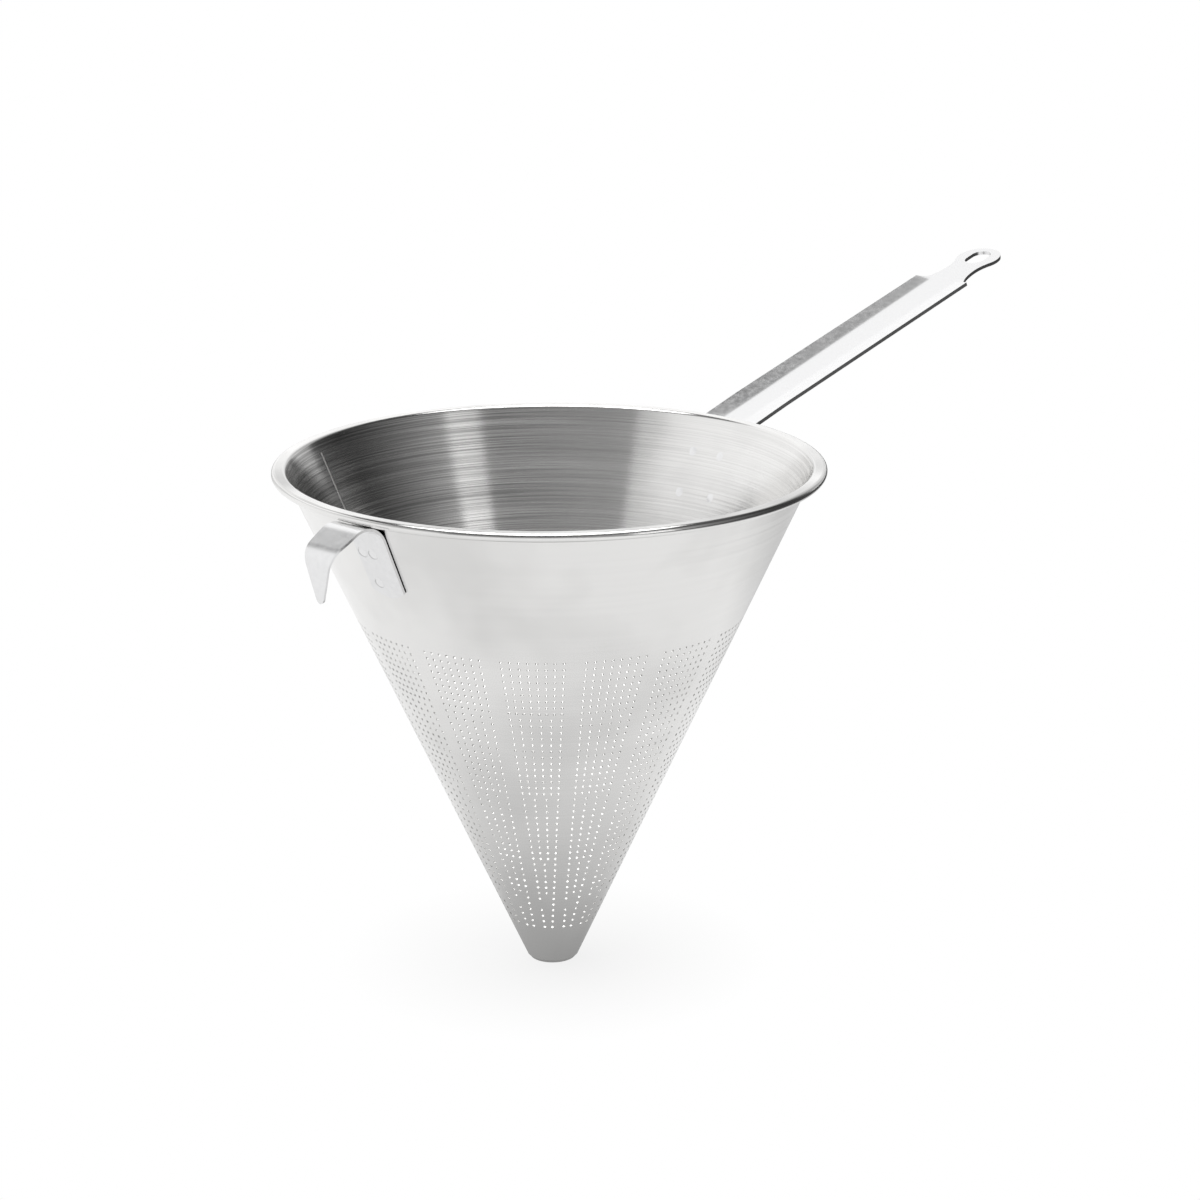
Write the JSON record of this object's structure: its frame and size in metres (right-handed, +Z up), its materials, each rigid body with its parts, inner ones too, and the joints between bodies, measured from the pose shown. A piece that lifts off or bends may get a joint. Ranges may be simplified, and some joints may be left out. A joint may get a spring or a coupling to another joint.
{
  "type": "chinois strainer",
  "caption": "Conical chinois strainer in perforated sheet metal with a rolled rim, a long flat handle with a hanging eye and a pot hook opposite.",
  "frame": {"origin": "centre of the flat bottom face of the tip cap, on the cone's axis", "axes": "+Z up along the cone's axis from the tip to the mouth, +X level from the axis towards the handle, the pot hook on -X"},
  "size_m": [0.4121, 0.21, 0.2432],
  "materials": {
    "perforated_sheet": "satin",
    "cap_steel": "satin",
    "weld_metal": "satin",
    "strip_steel": "satin"
  },
  "bodies": {
    "root": {"strainer_cone": "perforated_sheet", "tip_cap": "cap_steel", "seam_weld": "weld_metal", "handle": "strip_steel", "handle_spot_welds": "weld_metal", "pot_hook": "strip_steel", "hook_spot_welds": "weld_metal"}
  },
  "joints": []
}
